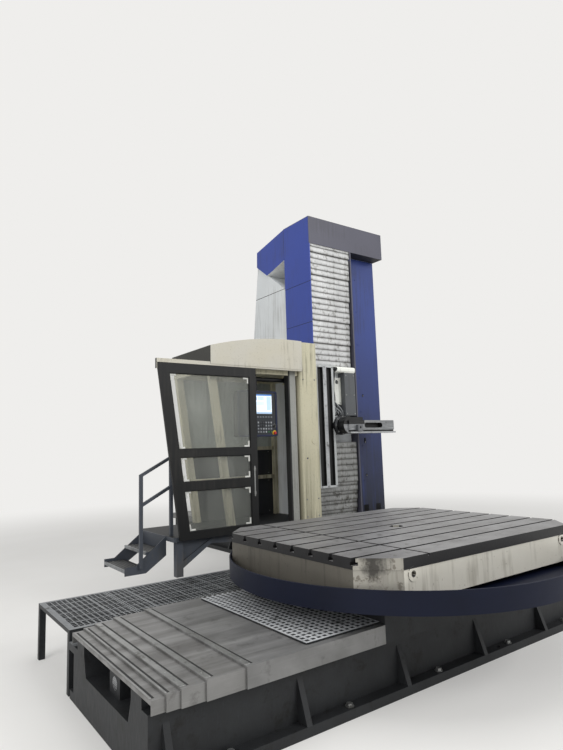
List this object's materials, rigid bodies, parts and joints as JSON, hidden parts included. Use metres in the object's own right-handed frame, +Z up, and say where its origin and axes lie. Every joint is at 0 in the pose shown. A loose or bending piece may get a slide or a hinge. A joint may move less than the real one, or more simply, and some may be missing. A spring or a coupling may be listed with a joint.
{
  "type": "horizontal boring mill",
  "caption": "Table-type horizontal boring mill: rotary T-slot table on a bed, column with headstock and facing arm on a second bed, operator's cabin with sliding door.",
  "frame": {"origin": "on the floor, under the crossing of the X bed's centre line and the spindle's vertical plane", "axes": "+X is the table's travel to the right, +Y goes from the table to the column, +Z is up"},
  "size_m": [8.12, 8.41, 4.97],
  "materials": {
    "light_grey_paint": "satin",
    "blue_paint": "satin",
    "cap_grey_paint": "satin",
    "cream_paint": "satin",
    "dark_grey_paint": "satin",
    "navy_paint": "satin",
    "slate_paint": "satin",
    "black_paint": "satin",
    "panel_grey_paint": "satin",
    "table_iron": "machined",
    "bed_iron": "painted",
    "cover_steel": "worn",
    "slat_steel": "brushed",
    "machined_steel": "ground",
    "ground_screw": "ground",
    "mat_grey": "woven",
    "grating_steel": "galvanised",
    "smoked_glass": "polished",
    "pipe_black": "satin",
    "red_plastic": "gloss",
    "black_plastic": "matte"
  },
  "bodies": {
    "bed": {"x_bed": "bed_iron", "z_bed": "bed_iron", "x_feed_screw": "ground_screw", "x_cover_left_5": "cover_steel", "x_cover_right_4": "cover_steel", "z_cover_front_3": "cover_steel", "z_cover_rear_3": "cover_steel", "walkway_grating": "grating_steel"},
    "saddle": {"x_saddle": "bed_iron", "splash_tray": "navy_paint", "x_cover_left_1": "cover_steel", "x_cover_right_1": "cover_steel", "walk_mat": "mat_grey"},
    "table": {"rotary_table": "table_iron"},
    "column": {"column_sled": "bed_iron", "column_casting": "light_grey_paint", "y_feed_screw": "ground_screw", "column_left_cover": "blue_paint", "column_right_cover": "blue_paint", "top_cap": "cap_grey_paint", "top_bridge": "blue_paint", "upper_cover_6": "slat_steel", "lower_cover_5": "slat_steel", "z_cover_front_1": "cover_steel", "z_cover_rear_1": "cover_steel", "cabin_frame": "cream_paint", "cabin_roof": "cream_paint", "cabin_wall": "cream_paint", "cabin_floor": "slate_paint", "steps": "slate_paint"},
    "headstock": {"headstock": "light_grey_paint", "head_front_frame": "panel_grey_paint", "head_side_panel": "panel_grey_paint", "coolant_pipes": "pipe_black", "upper_cover_1": "slat_steel", "lower_cover_1": "slat_steel"},
    "sleeve": {"spindle_sleeve": "machined_steel"},
    "spindle": {"boring_spindle": "machined_steel", "facing_arm": "machined_steel"},
    "tool_block": {"tool_block": "machined_steel"},
    "door": {"cabin_door": "dark_grey_paint", "door_pane": "smoked_glass"},
    "console_arm": {"console_arm": "black_paint"},
    "console": {"console": "black_paint"},
    "emergency_stop": {"emergency_stop": "red_plastic"},
    "feed_knob": {"feed_knob": "black_plastic"},
    "x_cover_left_2": {"x_cover_left_2": "cover_steel"},
    "x_cover_left_3": {"x_cover_left_3": "cover_steel"},
    "x_cover_left_4": {"x_cover_left_4": "cover_steel"},
    "x_cover_right_2": {"x_cover_right_2": "cover_steel"},
    "x_cover_right_3": {"x_cover_right_3": "cover_steel"},
    "z_cover_front_2": {"z_cover_front_2": "cover_steel"},
    "z_cover_rear_2": {"z_cover_rear_2": "cover_steel"},
    "upper_cover_2": {"upper_cover_2": "slat_steel"},
    "upper_cover_3": {"upper_cover_3": "slat_steel"},
    "upper_cover_4": {"upper_cover_4": "slat_steel"},
    "upper_cover_5": {"upper_cover_5": "slat_steel"},
    "lower_cover_2": {"lower_cover_2": "slat_steel"},
    "lower_cover_3": {"lower_cover_3": "slat_steel"},
    "lower_cover_4": {"lower_cover_4": "slat_steel"}
  },
  "joints": [
    {"name": "table_x", "type": "slide", "parent": "bed", "child": "saddle", "axis": [1, 0, 0], "range_m": [-0.25, 3.25]},
    {"name": "table_turn", "type": "hinge", "parent": "saddle", "child": "table", "pos_m": [-1.45, 0, 0.69], "axis": [0, 0, 1], "continuous": true},
    {"name": "column_z", "type": "slide", "parent": "bed", "child": "column", "axis": [0, 1, 0], "range_m": [-0.4, 1.5]},
    {"name": "headstock_y", "type": "slide", "parent": "column", "child": "headstock", "axis": [0, 0, 1], "range_m": [-0.39, 1.58]},
    {"name": "spindle_turn", "type": "hinge", "parent": "headstock", "child": "sleeve", "pos_m": [0, 2.25, 1.98], "axis": [0, -1, 0], "continuous": true},
    {"name": "spindle_w", "type": "slide", "parent": "sleeve", "child": "spindle", "axis": [0, -1, 0], "range_m": [0, 0.8]},
    {"name": "tool_slide", "type": "slide", "parent": "spindle", "child": "tool_block", "axis": [1, 0, 0], "range_m": [0, 0.45]},
    {"name": "door_slide", "type": "slide", "parent": "column", "child": "door", "axis": [1, 0, 0], "range_m": [0, 0.72]},
    {"name": "console_swing", "type": "hinge", "parent": "column", "child": "console_arm", "pos_m": [-0.8, 2.49, 2.6], "axis": [0, 0, 1], "range_deg": [-60, 0]},
    {"name": "console_turn", "type": "hinge", "parent": "console_arm", "child": "console", "pos_m": [-1.29, 2.49, 2.44], "axis": [0, 0, 1], "range_deg": [-30, 30]},
    {"name": "stop_press", "type": "slide", "parent": "console", "child": "emergency_stop", "axis": [0, 1, 0], "range_m": [0, 0.006], "stiffness_N_per_m": 800, "springref_m": -0.004},
    {"name": "knob_turn", "type": "hinge", "parent": "console", "child": "feed_knob", "pos_m": [-1.035, 2.435, 1.985], "axis": [0, -1, 0], "range_deg": [-135, 135]},
    {"name": "x_cover_left_2_slide", "type": "slide", "parent": "bed", "child": "x_cover_left_2", "axis": [1, 0, 0], "range_m": [-0.188, 2.438]},
    {"name": "x_cover_left_3_slide", "type": "slide", "parent": "bed", "child": "x_cover_left_3", "axis": [1, 0, 0], "range_m": [-0.1255, 1.6255]},
    {"name": "x_cover_left_4_slide", "type": "slide", "parent": "bed", "child": "x_cover_left_4", "axis": [1, 0, 0], "range_m": [-0.063, 0.813]},
    {"name": "x_cover_right_2_slide", "type": "slide", "parent": "bed", "child": "x_cover_right_2", "axis": [1, 0, 0], "range_m": [-0.16717, 2.16717]},
    {"name": "x_cover_right_3_slide", "type": "slide", "parent": "bed", "child": "x_cover_right_3", "axis": [1, 0, 0], "range_m": [-0.08383, 1.08383]},
    {"name": "z_cover_front_2_slide", "type": "slide", "parent": "bed", "child": "z_cover_front_2", "axis": [0, 1, 0], "range_m": [-0.2005, 0.7505]},
    {"name": "z_cover_rear_2_slide", "type": "slide", "parent": "bed", "child": "z_cover_rear_2", "axis": [0, 1, 0], "range_m": [-0.2005, 0.7505]},
    {"name": "upper_cover_2_slide", "type": "slide", "parent": "column", "child": "upper_cover_2", "axis": [0, 0, 1], "range_m": [-0.3125, 1.2645]},
    {"name": "upper_cover_3_slide", "type": "slide", "parent": "column", "child": "upper_cover_3", "axis": [0, 0, 1], "range_m": [-0.2345, 0.9485]},
    {"name": "upper_cover_4_slide", "type": "slide", "parent": "column", "child": "upper_cover_4", "axis": [0, 0, 1], "range_m": [-0.1565, 0.6325]},
    {"name": "upper_cover_5_slide", "type": "slide", "parent": "column", "child": "upper_cover_5", "axis": [0, 0, 1], "range_m": [-0.0785, 0.3165]},
    {"name": "lower_cover_2_slide", "type": "slide", "parent": "column", "child": "lower_cover_2", "axis": [0, 0, 1], "range_m": [-0.293, 1.1855]},
    {"name": "lower_cover_3_slide", "type": "slide", "parent": "column", "child": "lower_cover_3", "axis": [0, 0, 1], "range_m": [-0.1955, 0.7905]},
    {"name": "lower_cover_4_slide", "type": "slide", "parent": "column", "child": "lower_cover_4", "axis": [0, 0, 1], "range_m": [-0.098, 0.3955]}
  ],
  "couplings": [
    {"joint": "x_cover_left_2_slide", "follows": "table_x", "ratio": 0.75},
    {"joint": "x_cover_left_3_slide", "follows": "table_x", "ratio": 0.5},
    {"joint": "x_cover_left_4_slide", "follows": "table_x", "ratio": 0.25},
    {"joint": "x_cover_right_2_slide", "follows": "table_x", "ratio": 0.66667},
    {"joint": "x_cover_right_3_slide", "follows": "table_x", "ratio": 0.33333},
    {"joint": "z_cover_front_2_slide", "follows": "column_z", "ratio": 0.5},
    {"joint": "z_cover_rear_2_slide", "follows": "column_z", "ratio": 0.5},
    {"joint": "upper_cover_2_slide", "follows": "headstock_y", "ratio": 0.8},
    {"joint": "upper_cover_3_slide", "follows": "headstock_y", "ratio": 0.6},
    {"joint": "upper_cover_4_slide", "follows": "headstock_y", "ratio": 0.4},
    {"joint": "upper_cover_5_slide", "follows": "headstock_y", "ratio": 0.2},
    {"joint": "lower_cover_2_slide", "follows": "headstock_y", "ratio": 0.75},
    {"joint": "lower_cover_3_slide", "follows": "headstock_y", "ratio": 0.5},
    {"joint": "lower_cover_4_slide", "follows": "headstock_y", "ratio": 0.25}
  ]
}
